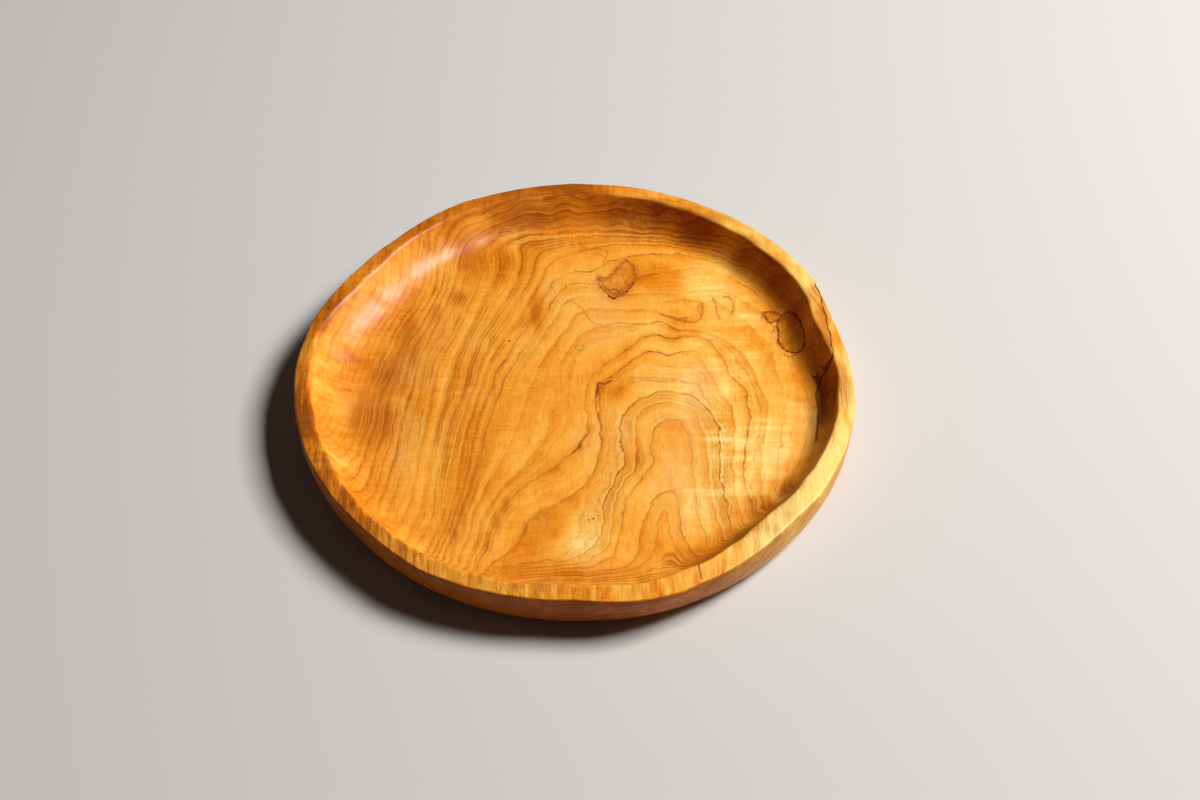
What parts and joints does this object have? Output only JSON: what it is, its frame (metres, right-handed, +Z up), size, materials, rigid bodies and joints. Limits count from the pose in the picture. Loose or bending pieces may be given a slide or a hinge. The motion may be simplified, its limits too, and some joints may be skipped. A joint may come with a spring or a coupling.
{
  "type": "wooden plate",
  "caption": "Round shallow plate carved from one board of figured olive wood, with a raised hand-shaped rim, a coved dish, encased knots and a bark seam across the rim.",
  "frame": {"origin": "on the table under the middle of the plate's outline", "axes": "+Z up out of the dish, +Y along the grain towards the side that lies at the back in the picture, +X towards the side with the bark seam"},
  "size_m": [0.2548, 0.2582, 0.025],
  "materials": {
    "olive_wood": "oiled and rubbed to a satin",
    "knot_wood": "oiled and rubbed to a satin",
    "bark": "dull"
  },
  "bodies": {
    "root": {"plate_body": "olive_wood", "corner_knot": "knot_wood", "corner_knot_bark": "bark", "main_knot": "knot_wood", "side_knot": "knot_wood", "twin_knot_bark": "bark", "rim_bark_seam": "bark"}
  },
  "joints": []
}
